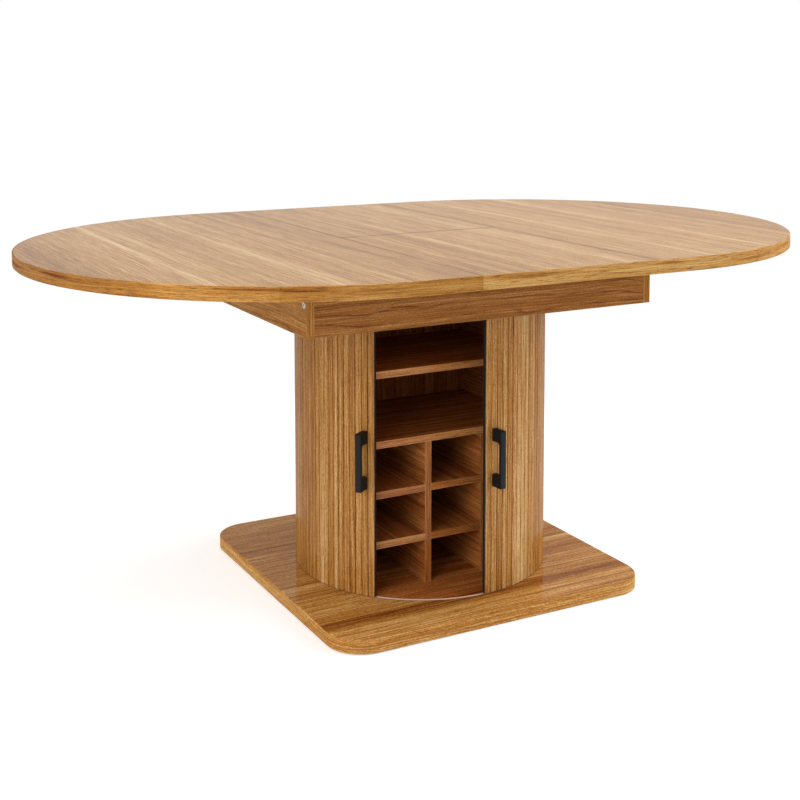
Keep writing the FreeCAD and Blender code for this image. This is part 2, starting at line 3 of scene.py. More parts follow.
import bmesh
import bpy
import numpy as np
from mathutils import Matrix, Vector


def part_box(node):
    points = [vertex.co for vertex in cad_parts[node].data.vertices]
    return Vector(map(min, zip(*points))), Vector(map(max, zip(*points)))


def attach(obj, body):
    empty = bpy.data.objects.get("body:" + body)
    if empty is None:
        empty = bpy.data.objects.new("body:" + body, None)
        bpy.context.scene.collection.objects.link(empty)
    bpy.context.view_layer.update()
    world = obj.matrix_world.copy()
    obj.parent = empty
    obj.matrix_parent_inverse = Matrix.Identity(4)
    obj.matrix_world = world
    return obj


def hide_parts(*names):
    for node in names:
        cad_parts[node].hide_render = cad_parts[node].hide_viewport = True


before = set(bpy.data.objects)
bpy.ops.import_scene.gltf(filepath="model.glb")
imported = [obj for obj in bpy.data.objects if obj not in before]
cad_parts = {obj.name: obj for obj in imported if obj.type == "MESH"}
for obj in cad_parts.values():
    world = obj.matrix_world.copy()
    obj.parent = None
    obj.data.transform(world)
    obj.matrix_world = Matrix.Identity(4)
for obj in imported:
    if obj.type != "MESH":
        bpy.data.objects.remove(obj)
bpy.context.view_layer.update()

# Metres and radians. The table's length runs along X, its front is at -Y and Z is up.
# Angles round the cabinet are counted from the front towards +X.
MM = 0.001
X, Y, Z = 0, 1, 2

# Camera of the photograph
CAMERA_PLACE = (-1.41467, -2.55611, 1.13274)
CAMERA_TILT = math.radians(84.92)
CAMERA_TURN = math.radians(-28.40)
CAMERA_LENS = 59.55
CAMERA_SHIFT = (-0.0085, -0.273)

# Studio
FLOOR_SIZE = 16.0
FLOOR_ALBEDO = 0.80
FLOOR_LIFT = 0.40  # glow that the camera sees, which makes the lit floor white
FLOOR_FADE = (0.7, 1.9)  # from and to these distances the floor turns into the white surroundings
SKY_LEVEL = 0.62  # what the surroundings give to the object
LAMP_AIM = (0.0, 0.0, 0.45)
LAMPS = {  # place, diameter and watts
    "key": ((3.3, -1.1, 2.2), 3.4, 146.0),
    "fill": ((-3.1, -1.5, 1.9), 3.0, 88.0),
    "overhead": ((0.3, 0.4, 3.4), 2.6, 24.0),
}

# Tambour doors
SIDES = {"left": -1, "right": 1}
DOOR_TURN = {"left": math.radians(-48.0), "right": 0.0}
SLAT_COUNT = 30
SLAT_PITCH = math.radians(3.0)
SLAT_GAP = 0.6 * MM
SLAT_ROUND = 1.1 * MM  # outer arrises of a slat
SLAT_ROUND_STEPS = 3
SLAT_SEED = 4  # draws the left door's slat tones; the right door has the next seed
DOOR_LEAD = 1.8 * MM  # leading slat from the line where the doors meet

# Door handles
HANDLE_SLAT = 1
HANDLE_HEIGHT = 122.0 * MM
HANDLE_FOOT = 26.0 * MM
HANDLE_WIDTH = 12.5 * MM
HANDLE_REACH = 32.0 * MM
HANDLE_GRIP = 8.0 * MM
HANDLE_INNER_ROUND = 6.0 * MM
HANDLE_OUTER_ROUND = 3.0 * MM
HANDLE_ROUND_STEPS = 6
HANDLE_ARRIS = 0.9 * MM
HANDLE_ARRIS_STEPS = 3
HANDLE_CORNER = math.radians(40)  # corners sharper than this are eased

# Fasteners
MERGE_DISTANCE = 1e-6
HEAD_SLICE = 0.3 * MM  # the end that is wider within this length is a fastener's head
SHANK_SIDES = 16
SCREW_SIDES = 24
BOLT_SIDES = 48
SOCKET_SIDES = 6
SCREW = {
    "Head Radius": 4.0 * MM, "Head Height": 2.2 * MM, "Shank Radius": 2.0 * MM, "Cross": 4.4 * MM,
    "Cross Width": 0.9 * MM, "Cross Depth": 1.5 * MM,
}
BOLT = {
    "Head Radius": 6.25 * MM, "Head Height": 1.5 * MM, "Ease": 0.6 * MM, "Shank Radius": 3.0 * MM,
    "Socket Radius": 4.0 * MM / math.sqrt(3),  # of a hexagon that is 4 mm across its flats
    "Socket Depth": 1.1 * MM,
}

# Edges sharper than this stay sharp in a shaded mesh
SHARP_EDGE = math.radians(32)

# Places read from the frame
track_low, track_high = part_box("bottom_track")
slats_low, slats_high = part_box("left_door_slats")
seal_low, seal_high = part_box("left_door_seal")
base_low, base_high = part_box("base_plate")
leaf_low, leaf_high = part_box("front_leaf_edge")
grip_low, grip_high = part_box("left_door_handle")
bolt_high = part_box("apron_bolts")[1]
DOOR_RADIUS = (track_high.x - track_low.x) / 2
HANDLE_Z = (grip_low.z + grip_high.z) / 2
SLAT = {
    "Radius": DOOR_RADIUS, "Width": SLAT_PITCH * DOOR_RADIUS - SLAT_GAP, "Thickness": 8.0 * MM,
    "Arris": SLAT_ROUND, "Back Arris": 0.2 * MM, "Bottom": seal_low.z, "Top": seal_high.z,
    "Tongue Thickness": 3.0 * MM, "Tongue Bottom": slats_low.z, "Tongue Top": slats_high.z,
}

# Wood tones as they look in daylight, 0 to 255: dark, middle and light
OAK = ((94, 41, 9), (171, 117, 50), (221, 182, 116))
TOP_OAK = ((92, 53, 18), (164, 118, 56), (211, 182, 135))
RIM_OAK = ((94, 44, 10), (168, 119, 55), (216, 182, 120))
SLAT_OAK = ((94, 43, 12), (170, 119, 56), (220, 189, 136))
BASE_OAK = ((106, 52, 12), (174, 120, 55), (224, 190, 126))
APRON_OAK = ((88, 38, 10), (157, 103, 48), (204, 162, 104))
# Inside the cabinet the oak is darker and redder: painted shade and red bounce light
INSIDE_SHADED_OAK = ((80, 36, 14), (166, 99, 46), (220, 161, 98))
BEECH = ((150, 104, 66), (203, 160, 112), (226, 193, 152))
HEART_LINE = (102, 44, 14)  # ring lines
BLUSH = (255, 224, 204)  # multiplies the wood in its redder zones
INSIDE_SHADE_TINT = (236, 196, 184)  # painted shade: darkens and reddens the base plate where the doors stand round it
# grime and painted shade inside the bolts' hexagon sockets
SOCKET_GRIME_AND_SHADE = (40, 38, 36)

# Patterns of the veneer as (cycles per metre along the grain, the same across it, detail, roughness)
GRAIN_PATTERNS = {
    "wander": (1.3, 6.0, 2.0, 0.5), "broad": (0.8, 17.0, 2.0, 0.5), "bands": (1.6, 78.0, 3.0, 0.55),
    "fibres": (3.2, 400.0, 2.0, 0.6), "strokes": (11.0, 620.0, 1.0, 0.6),
    "mottle": (190.0, 700.0, 1.0, 0.5), "pores": (30.0, 820.0, 1.0, 0.5), "blush": (1.1, 34.0, 1.0, 0.5),
    "ring_warp": (4.5, 15.0, 1.0, 0.5), "ring_zone": (1.7, 13.0, 1.0, 0.5),
    "ring_breaks": (16.0, 330.0, 1.0, 0.5), "streak_drift": (1.6, 9.0, 2.0, 0.5),
    "streak_fade": (2.2, 14.0, 2.0, 0.5),
}

# Levels of its noise at which a pattern starts and is full
GRAIN_LEVELS = {
    "bands": (0.34, 0.66), "dark_fibres": (0.50, 0.62), "pale_fibres": (0.47, 0.36), "pores": (0.54, 0.68),
    "blush": (0.46, 0.66), "ring_zone": (0.40, 0.58), "ring_breaks": (0.36, 0.6), "streak_fade": (0.3, 0.7),
}
SEED_STEPS = (1.37, 0.71, 0.43)  # how far one unit of seed moves the pattern along each axis
GRAIN_WANDER = 22.0 * MM
STREAK_DRIFT = 10.0 * MM
RING_SPACE = 21.0 * MM  # how far apart ring lines lie
RING_WARP = 60.0 * MM  # how far they stray
RING_START, RING_PEAK = 0.76, 0.95  # where a ring line starts and is darkest within that space

# What each pattern adds to the shade
BROAD_SHARE, BAND_SHARE = 0.5, 0.22
LINE_SHARE, STROKE_SHARE, MOTTLE_SHARE = 0.1, 0.6, 0.6
BLUSH_SHARE = 0.22
RING_FAINT = 0.2  # what shows of a ring line in its breaks
PALE_PORES = 0.4  # what shows of the pores in pale fibres
STREAK_FADE = (0.55, 1.3)  # strength of a streak where it is faint and where it is full

# Lacquer and edges of the wood, with a painted highlight along the arrises of boards
LACQUER_IOR = 1.5
GRAIN_DEPTH = 0.25 * MM
FIBRE_RELIEF = 0.15  # height of a fibre against the depth of a pore
GRAIN_ROUGHNESS = (0.3, 0.42)
PORE_ROUGHNESS = 0.2  # added in the pores
HIGHLIGHT_WIDTH = 1.6 * MM
HIGHLIGHT_SHARE = 0.35
HIGHLIGHT_FAINT = 0.25  # what shows of the painted highlight between its patches
EDGE_GLOSS = 0.06  # coat on the edges of a board whose face alone is glossy
GLOSS_FACING = (0.9, 0.99)  # how far up a normal goes where that gloss starts and is full
FACING = 0.7  # a face points along an axis when its normal goes that far along it
BASE_EDGE_FACING = 0.5  # the base plate's edge is where its normal goes up by less
END_GRAIN_DEPTH = 0.37  # how deep in the pattern the ends of a board lie

# Tones of the seams of the top, the edge of the base plate and the slats: dirt and painted shade in the
# seams and joints, painted light on the base plate's edge
# dark line of dirt and painted shade where the pieces of the top meet
SEAM_LINE = 2.8 * MM  # half width
SEAM_TONE = -0.36
# the base plate's edge is painted lighter
BASE_EDGE_PAINTED_LIGHT = 0.12
# darker line at the slat joints: dirt and painted shade in the groove
SLAT_JOINT_TONES = (-0.12, -0.29)  # of the faintest and the darkest joint
SLAT_JOINT_CYCLES = 21.0
SLAT_JOINT_LEVELS = (0.35, 0.6)
SLAT_TONE_SPREAD = 0.075
SLAT_GRAIN_SHIFT = (3.0, 0.0, 0.4)  # how far a slat's own tone moves its grain

# Coatings and metals
CLOUD_CYCLES = {"painted_highlight": 45.0, "coating": 28.0, "metal": 60.0}  # slow changes of tone, per metre
CLOUD_LEVELS = (0.35, 0.7)  # levels of that noise at which the painted arris highlight and dull metal start and are full
NOISE_SPAN = (0.3, 0.7)  # most of a noise lies between these
SPECKLE_SHARE = 0.6  # of the fine grain, the rest is the slow change
COATING_ROUGHNESS = (0.42, 0.62)
COATING_BUMP = 0.4
METAL_BUMP = 0.2
METAL_DEPTH = 0.05 * MM
DULL_TONE = 0.72  # of dull metal against bright metal
DULL_SHARE = 0.6
SOCKET_DARK_SHARE = 0.9
SOCKET_DARK_EDGE = 0.1  # how soft the rim of the socket's grime and painted shade is, as a share of the socket's radius

# Changes of tone along the edge band as (place along its run, half length of the change, change): steps
# where its strips meet, and painted light and shade where the tone changes along a strip.
# The run is counted in mm from the middle of the front.
RIM_FIRST_TONE = -0.12
RIM_TONES = (
    (-950, 50, 0.23), (-621, 1, -0.09), (-520, 40, 0.13), (-350, 40, -0.12), (leaf_low.x / MM, 1, 0.19),
    (30, 30, -0.03), (leaf_high.x / MM, 1, 0.03), (300, 30, -0.06),
)

# Dark flames of the edge band as (place along its run, half length, height, half width), in mm
RIM_FLAME_TONE = -0.36
RIM_FLAME_DRIFT = 9.0 * MM
RIM_FLAME_CYCLES = (9.0, 30.0, 0.0)
RIM_FLAMES = (
    (-1500, 70, 748, 3.0), (-1260, 60, 752, 3.0), (-690, 80, 755, 2.5), (-550, 70, 753, 2.8),
    (-400, 80, 750, 2.8), (-105, 70, 754, 3.0), (232, 30, 752, 3.0), (480, 70, 745, 2.5),
    (760, 90, 752, 3.0), (1080, 80, 748, 3.0),
)

# Streaks of the veneer as (place across the grain in mm, half width in mm, tone against its surroundings).
# The scales are the shade per unit of tone of pale and of dark streaks.
STREAK_SCALES = {
    "top": (0.017, 0.0135), "base": (0.015, 0.014), "apron": (0.0075, 0.0055), "slats": (0.011, 0.0085),
}
TOP_STREAKS = (
    (-850, 80, -13), (-832, 10, -9), (-650, 9, 16), (-605, 13, 6), (-548, 12, -6), (-500, 12, -6),
    (-455, 11, 13), (-434, 7, 6), (-410, 8, -5), (-376, 7, -11), (-340, 7, 5), (-325, 7, -7), (-308, 8, 6),
    (-250, 12, -11), (-200, 130, -9), (-176, 8, 6), (-137, 10, 8), (-76, 14, -10), (-42, 10, 11),
    (138, 22, 8), (203, 8, -7), (281, 8, -5), (336, 9, 11), (374, 8, 5), (440, 12, -5), (490, 12, -5),
    (531, 11, 9), (612, 12, -7), (706, 12, 5), (738, 14, -9), (800, 110, -10),
)
BASE_STREAKS = (
    (-338, 9, 7), (-322, 7, -7), (-306, 9, 5), (-293, 6, -8), (-282, 7, -10), (-268, 12, -21),
    (-240, 6, -7), (-206, 10, 7), (-165, 9, 6), (-130, 12, -10), (-70, 9, 15), (-53, 9, -8),
    (34, 12, -6), (133, 10, 12), (181, 10, -5), (253, 10, 5), (278, 8, -5), (293, 8, 7), (325, 8, 5),
)
APRON_STREAKS = (
    (630, 5, -15), (637, 4, 6), (645, 4, -8), (672, 5, -19), (682, 5, 14), (699, 6, -20), (711, 6, 17),
)
SLAT_STREAKS = (
    (-381, 7, 6), (-369, 2, 20), (-350, 8, -5), (-331, 5, 20), (-246, 6, -7), (38, 7, -10), (52, 6, 8),
    (70, 6, -6), (90, 10, 16), (112, 13, 24), (120, 50, 7), (136, 6, -7), (152, 9, 12),
)


# Node trees
SOCKETS = {
    "value": "NodeSocketFloat", "whole": "NodeSocketInt", "vector": "NodeSocketVector",
    "colour": "NodeSocketColor", "geometry": "NodeSocketGeometry", "finish": "NodeSocketMaterial",
}


def daylight(red, green, blue):
    """Colour for a shader from a tone counted 0 to 255."""
    channels = []
    for tone in (red, green, blue):
        part = tone / 255
        channels.append(part / 12.92 if part <= 0.04045 else ((part + 0.055) / 1.055) ** 2.4)
    return (*channels, 1.0)


class Net:
    """Adds nodes to one tree and links them."""

    def __init__(self, tree):
        self.tree = tree

    def add(self, kind, inputs=None, **settings):
        node = self.tree.nodes.new(kind)
        for name, value in settings.items():
            setattr(node, name, value)
        for key, value in (inputs or {}).items():
            self.put(node.inputs[key], value)
        return node

    def put(self, socket, value):
        if isinstance(value, bpy.types.NodeSocket):
            self.tree.links.new(value, socket)
        else:
            socket.default_value = value

    def out(self, kind, inputs=None, **settings):
        """Adds a node and gives its first output."""
        return self.add(kind, inputs, **settings).outputs[0]

    def maths(self, operation, *values, clamp=False):
        return self.out("ShaderNodeMath", dict(enumerate(values)), operation=operation, use_clamp=clamp)

    def plus(self, first, second):
        return self.maths("ADD", first, second)

    def minus(self, first, second):
        return self.maths("SUBTRACT", first, second)

    def times(self, first, second):
        return self.maths("MULTIPLY", first, second)

    def times_plus(self, first, second, third):
        """First times second, plus third."""
        return self.maths("MULTIPLY_ADD", first, second, third)

    def centred(self, value):
        """Moves a value between 0 and 1 so that its middle is 0."""
        return self.minus(value, 0.5)

    def vector(self, operation, *values):
        return self.out("ShaderNodeVectorMath", dict(enumerate(values)), operation=operation)

    def length(self, vector):
        return self.add("ShaderNodeVectorMath", {0: vector}, operation="LENGTH").outputs["Value"]

    def join(self, x, y, z):
        return self.out("ShaderNodeCombineXYZ", {0: x, 1: y, 2: z})

    def split(self, vector):
        return self.add("ShaderNodeSeparateXYZ", {0: vector}).outputs

    def noise(self, vector, cycles, detail=2.0, roughness=0.5):
        """Noise between 0 and 1, with its cycles per metre along each axis."""
        scaled = self.vector("MULTIPLY", vector, cycles)
        return self.out("ShaderNodeTexNoise", {
            "Vector": scaled, "Scale": 1.0, "Detail": detail, "Roughness": roughness,
        })

    def grain(self, place, pattern):
        """Noise of one of the veneer's patterns, whose grain runs along X of the place."""
        along, across, detail, roughness = GRAIN_PATTERNS[pattern]
        return self.noise(place, (along, across, across), detail, roughness)

    def pattern(self, place, name, low, high, smooth=True):
        """One of the veneer's patterns, from low where it starts to high where it is full."""
        return self.remap(self.grain(place, name), *GRAIN_LEVELS[name], low, high, smooth)

    def cloud(self, place, kind):
        """Slow change of tone, the same along every axis."""
        return self.noise(place, (CLOUD_CYCLES[kind],) * 3, detail=3.0)

    def remap(self, value, low, high, new_low, new_high, smooth=False):
        kind = "SMOOTHSTEP" if smooth else "LINEAR"
        return self.out("ShaderNodeMapRange", {0: value, 1: low, 2: high, 3: new_low, 4: new_high},
                        interpolation_type=kind)

    def mix_colour(self, factor, first, second, blend="MIX"):
        node = self.add("ShaderNodeMix", {0: factor, 6: first, 7: second},
                        data_type="RGBA", blend_type=blend)
        return node.outputs[2]

    def mix_vector(self, factor, first, second):
        node = self.add("ShaderNodeMix", {0: factor, 4: first, 5: second}, data_type="VECTOR")
        return node.outputs[1]

    def use(self, group, inputs):
        return self.add("ShaderNodeGroup", inputs, node_tree=GROUPS[group]).outputs

    def streak(self, before, across, middle, half_width, tone):
        """Adds one streak to the shade that comes before it."""
        return self.use("streak", {"Before": before, "Across": across, "Middle": middle,
                                   "Half Width": half_width, "Tone": tone})["Shade"]


def new_tree(tree_type, name, inputs, outputs):
    """Node tree with sockets listed by kind: its net, what it is given and where its result goes."""
    tree = bpy.data.node_groups.new(name, tree_type)
    for way, sockets in (("OUTPUT", outputs), ("INPUT", inputs)):
        for kind, labels in sockets.items():
            for label in labels:
                tree.interface.new_socket(label, in_out=way, socket_type=SOCKETS[kind])
    net = Net(tree)
    given = net.add("NodeGroupInput").outputs
    result = net.add("NodeGroupOutput").inputs
    return net, given, result


# Shared effects
def build_veneer_streak():
    """One lighter or darker line of the veneer, added to the shade that comes before it."""
    net, given, result = new_tree(
        "ShaderNodeTree", "veneer_streak",
        {"value": ("Before", "Across", "Middle", "Half Width", "Tone")}, {"value": ("Shade",)})
    off = net.minus(given["Across"], given["Middle"])
    ratio = net.maths("DIVIDE", off, given["Half Width"])
    square = net.times(ratio, ratio)
    hump = net.maths("EXPONENT", net.times(square, -1.0))
    net.put(result["Shade"], net.times_plus(hump, given["Tone"], given["Before"]))
    return net.tree


def build_veneer_grain():
    """Bands, ring lines, fibres and pores of wood whose grain runs along X of the given place."""
    net, given, result = new_tree(
        "ShaderNodeTree", "veneer_grain",
        {"vector": ("Place",), "value": ("Seed", "Shade", "Bands", "Fibres", "Figure", "Pores"),
         "colour": ("Dark", "Middle", "Light")},
        {"colour": ("Color",), "value": ("Height", "Roughness")})
    shift = net.join(*[net.times(given["Seed"], step) for step in SEED_STEPS])
    place = net.vector("ADD", given["Place"], shift)
    x, y, z = net.split(place)
    wander = net.centred(net.grain(place, "wander"))
    bent = net.join(x, net.times_plus(wander, GRAIN_WANDER, y), z)

    broad = net.centred(net.grain(bent, "broad"))
    bands = net.pattern(bent, "bands", -0.5, 0.5)
    fibres = net.grain(bent, "fibres")
    dark_fibres = net.remap(fibres, *GRAIN_LEVELS["dark_fibres"], 0.0, -1.0, smooth=True)
    pale_fibres = net.remap(fibres, *GRAIN_LEVELS["pale_fibres"], 0.0, 1.0, smooth=True)
    lines = net.plus(dark_fibres, pale_fibres)
    strokes = net.centred(net.grain(bent, "strokes"))
    mottle = net.centred(net.grain(bent, "mottle"))
    layered = net.times(broad, BROAD_SHARE)
    layered = net.times_plus(bands, BAND_SHARE, layered)
    threads = net.times(lines, LINE_SHARE)
    threads = net.times_plus(strokes, STROKE_SHARE, threads)
    threads = net.times_plus(mottle, MOTTLE_SHARE, threads)
    shade = net.plus(given["Shade"], 0.5)
    shade = net.times_plus(layered, given["Bands"], shade)
    shade = net.maths("MULTIPLY_ADD", threads, given["Fibres"], shade, clamp=True)

    warp = net.centred(net.grain(place, "ring_warp"))
    turn = net.maths("DIVIDE", net.times_plus(warp, RING_WARP, y), RING_SPACE)
    part = net.maths("FRACT", turn)
    rise = net.remap(part, RING_START, RING_PEAK, 0.0, 1.0, smooth=True)
    drop = net.remap(part, RING_PEAK, 1.0, 1.0, 0.0)
    breaks = net.pattern(bent, "ring_breaks", RING_FAINT, 1.0, smooth=False)
    zone = net.pattern(place, "ring_zone", 0.0, 1.0)
    ring = given["Figure"]
    for factor in (rise, drop, breaks, zone):
        ring = net.times(ring, factor)

    pores = net.pattern(bent, "pores", 0.0, 1.0)
    pores = net.times(pores, net.remap(lines, -0.8, 0.8, 1.0, PALE_PORES))

    darker = net.remap(shade, 0.0, 0.5, 0.0, 1.0)
    lighter = net.remap(shade, 0.5, 1.0, 0.0, 1.0)
    colour = net.mix_colour(darker, given["Dark"], given["Middle"])
    colour = net.mix_colour(lighter, colour, given["Light"])
    redder = net.pattern(bent, "blush", 0.0, BLUSH_SHARE)
    colour = net.mix_colour(redder, colour, daylight(*BLUSH), blend="MULTIPLY")
    colour = net.mix_colour(ring, colour, daylight(*HEART_LINE))
    colour = net.mix_colour(net.times(pores, given["Pores"]), colour, given["Dark"])
    net.put(result["Color"], colour)
    net.put(result["Height"], net.minus(net.times(lines, FIBRE_RELIEF), pores))
    smoother = net.remap(bands, -0.5, 0.5, *GRAIN_ROUGHNESS)
    net.put(result["Roughness"], net.times_plus(pores, PORE_ROUGHNESS, smoother))
    return net.tree


def build_arris_highlight():
    """Painted highlight, in patches, along the edges of a board that fills the box from Low to High."""
    net, given, result = new_tree(
        "ShaderNodeTree", "painted_arris_highlight",
        {"vector": ("Place", "Low", "High"), "value": ("Width",)}, {"value": ("Mask",)})
    from_low = net.vector("SUBTRACT", given["Place"], given["Low"])
    from_high = net.vector("SUBTRACT", given["High"], given["Place"])
    x, y, z = net.split(net.vector("MINIMUM", from_low, from_high))
    larger = net.maths("MINIMUM", net.maths("MAXIMUM", x, y), z)
    second = net.maths("MAXIMUM", net.maths("MINIMUM", x, y), larger)
    line = net.remap(second, 0.0, given["Width"], 1.0, 0.0, smooth=True)
    patches = net.remap(net.cloud(given["Place"], "painted_highlight"), *CLOUD_LEVELS, HIGHLIGHT_FAINT, 1.0)
    net.put(result["Mask"], net.times(line, patches))
    return net.tree


def build_fine_speckle():
    """Small even grain of a coating, film or moulded plastic."""
    net, given, result = new_tree(
        "ShaderNodeTree", "fine_speckle",
        {"vector": ("Place",), "value": ("Size", "Spread"), "colour": ("Base",)},
        {"colour": ("Color",), "value": ("Height", "Roughness")})
    per_metre = net.maths("DIVIDE", 1.0, given["Size"])
    fine = net.noise(given["Place"], net.join(per_metre, per_metre, per_metre), detail=3.0, roughness=0.6)
    slow = net.times(net.cloud(given["Place"], "coating"), 1 - SPECKLE_SHARE)
    tone = net.times_plus(fine, SPECKLE_SHARE, slow)
    factor = net.times_plus(net.centred(tone), given["Spread"], 1.0)
    net.put(result["Color"], net.vector("MULTIPLY", given["Base"], net.join(factor, factor, factor)))
    net.put(result["Height"], fine)
    net.put(result["Roughness"], net.remap(tone, *NOISE_SPAN, *COATING_ROUGHNESS))
    return net.tree


GROUPS = {
    "streak": build_veneer_streak(),
    "grain": build_veneer_grain(),
    "painted_highlight": build_arris_highlight(),
    "speckle": build_fine_speckle(),
}


# Where the grain lies on each kind of piece: along it, across it and into it
def board_place(along, across, thin):
    """Grain along one axis, turned on the ends so that it follows their edge."""
    def place(net, coordinates):
        here = net.split(coordinates["Object"])
        facing = net.split(coordinates["Normal"])[along]
        on_end = net.maths("GREATER_THAN", net.maths("ABSOLUTE", facing), FACING)
        face = net.join(here[along], here[across], here[thin])
        end = net.join(here[across], here[thin], END_GRAIN_DEPTH)
        return net.mix_vector(on_end, face, end)
    return place


def edge_run(net, coordinates, front):
    """Run of an edge band from the front's middle, and its height. The run ends at the leaf's seam."""
    x, y, z = net.split(coordinates["Object"])
    back = net.minus(y, front)
    side = net.maths("SIGN", net.minus(x, leaf_low.x))
    return net.join(net.times_plus(back, side, x), z, 0.0)


def rim_place(net, coordinates):
    return edge_run(net, coordinates, leaf_low.y)


def base_place(net, coordinates):
    """Grain along X on the face of the base plate, and along its edge all round."""
    upright = net.maths("ABSOLUTE", net.split(coordinates["Normal"])[Z])
    on_edge = net.maths("LESS_THAN", upright, BASE_EDGE_FACING)
    return net.mix_vector(on_edge, coordinates["Object"], edge_run(net, coordinates, base_low.y))


def round_place(net, coordinates):
    """Upright grain, with the way round the cabinet across it."""
    x, y, z = net.split(coordinates["Object"])
    angle = net.maths("ARCTAN2", x, net.times(y, -1.0))
    return net.join(z, net.times(angle, DOOR_RADIUS), 0.0)


# Shades of the wood, added to its grain
def streaked(streaks, pale_scale, dark_scale):
    """Shade that carries the given streaks, with the scales as shade per unit of tone."""
    def shade(net, place):
        drift = net.centred(net.grain(place, "streak_drift"))
        across = net.times_plus(drift, STREAK_DRIFT, net.split(place)[Y])
        total = 0.0
        for middle, half_width, tone in streaks:
            scale = pale_scale if tone > 0 else dark_scale
            total = net.streak(total, across, middle * MM, half_width * MM, tone * scale)
        fade = net.pattern(place, "streak_fade", *STREAK_FADE, smooth=False)
        return net.times(total, fade)
    return shade


def rim_shade(net, place):
    """Tone of the edge band, which changes from one strip to the next and, as painted light and shade,
    along a strip.
    """
    along, across = net.split(place)[:2]
    tone = RIM_FIRST_TONE
    for middle, half_length, change in RIM_TONES:
        step = net.remap(along, (middle - half_length) * MM, (middle + half_length) * MM, 0.0, change)
        tone = net.plus(step, tone)
    drift = net.centred(net.noise(place, RIM_FLAME_CYCLES))
    height = net.times_plus(drift, RIM_FLAME_DRIFT, across)
    for middle, half_length, level, half_width in RIM_FLAMES:
        strength = net.streak(0.0, along, middle * MM, half_length * MM, RIM_FLAME_TONE)
        tone = net.streak(tone, height, level * MM, half_width * MM, strength)
    return tone


def top_shade(net, place):
    """Streaks of the table top, and the dark lines of dirt and painted shade where its pieces meet."""
    along, across = net.split(place)[:2]
    shade = streaked(TOP_STREAKS, *STREAK_SCALES["top"])(net, place)
    seam = leaf_high.x
    for middle in (-seam, seam):
        shade = net.streak(shade, across, middle, SEAM_LINE, SEAM_TONE)
    on_leaf = net.maths("LESS_THAN", net.maths("ABSOLUTE", across), seam)
    return net.streak(shade, along, 0.0, 2 * SEAM_LINE, net.times(on_leaf, SEAM_TONE))


def base_shade(net, place):
    """Streaks on the base plate's face, and painted light: a paler band along its edge."""
    across, depth = net.split(place)[1:]
    on_edge = net.maths("GREATER_THAN", across, base_low.z)
    on_edge = net.times(on_edge, net.maths("LESS_THAN", across, base_high.z))
    on_edge = net.times(on_edge, net.maths("LESS_THAN", depth, base_low.z))
    streaks = streaked(BASE_STREAKS, *STREAK_SCALES["base"])(net, place)
    return net.times_plus(on_edge, BASE_EDGE_PAINTED_LIGHT, streaks)


def slat_shade(net, place):
    """Streaks of single slats, and the darker line of dirt and painted shade at the joints between two
    slats, some of it faint.
    """
    across = net.split(place)[Y]
    some = net.noise(net.join(0.0, across, 0.0), (0.0, SLAT_JOINT_CYCLES, 0.0))
    strength = net.remap(some, *SLAT_JOINT_LEVELS, *SLAT_JOINT_TONES)
    streaks = streaked(SLAT_STREAKS, *STREAK_SCALES["slats"])(net, place)
    from_lead = net.minus(net.maths("ABSOLUTE", across), DOOR_LEAD)
    from_joint = net.maths("PINGPONG", from_lead, SLAT_PITCH * DOOR_RADIUS / 2)
    return net.streak(streaks, from_joint, 0.0, SLAT_ROUND, strength)


def painted_side_light(net, coordinates, faces, front_edge):
    """Painted light and shade of a board: one tone for its faces and another for its front edge."""
    to_front = net.maths("LESS_THAN", net.split(coordinates["Normal"])[Y], -FACING)
    return net.times_plus(to_front, front_edge - faces, faces)


# Materials
def new_material(name):
    """Material without nodes, its net and its coordinates."""
    material = bpy.data.materials.new(name)
    material.use_nodes = True
    material.node_tree.nodes.clear()
    net = Net(material.node_tree)
    return material, net, net.add("ShaderNodeTexCoord").outputs


def surface(net, inputs):
    """Shader with the given inputs as the material's surface."""
    net.add("ShaderNodeOutputMaterial", {"Surface": net.out("ShaderNodeBsdfPrincipled", inputs)})


def bump(net, height, strength, depth):
    return net.out("ShaderNodeBump", {"Strength": strength, "Distance": depth, "Height": height})


def from_axis(net, here):
    """Distance from the cabinet's upright axis."""
    x, y = net.split(here)[:2]
    return net.length(net.join(x, y, 0.0))


